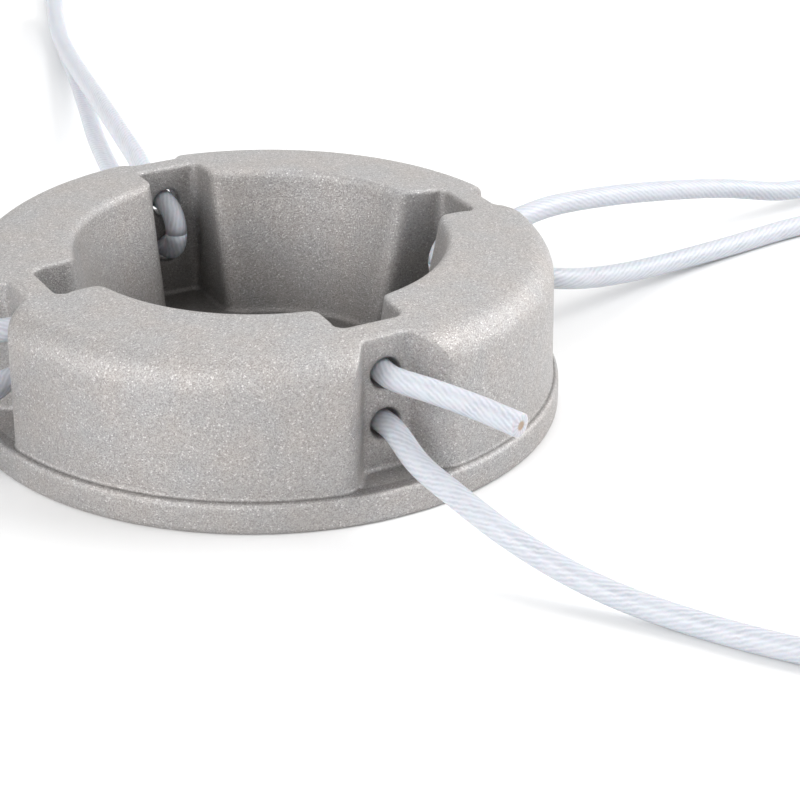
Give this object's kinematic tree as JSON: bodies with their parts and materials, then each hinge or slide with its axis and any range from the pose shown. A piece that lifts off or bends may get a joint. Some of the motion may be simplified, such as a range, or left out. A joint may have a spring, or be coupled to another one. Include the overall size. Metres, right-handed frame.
{
  "type": "trimmer head",
  "caption": "Round cast aluminium trimmer head with an open cup and nylon cutting lines looped through holes in its wall.",
  "frame": {"origin": "centre of the flat underside, on the spindle axis", "axes": "+Z along the spindle axis, out of the open cup; the four line slots point along -Y (front), -X (left), +Y (back) and +X (right)"},
  "size_m": [0.3428, 0.4175, 0.0301],
  "materials": {
    "casting": "bead-blasted casting, dull silver grey with a fine sparkling grain",
    "line": "clear milky nylon with a fine twisted structure inside"
  },
  "bodies": {
    "root": {"cast_head": "casting", "front_line": "line", "left_line": "line", "back_line": "line", "right_line": "line"}
  },
  "joints": []
}
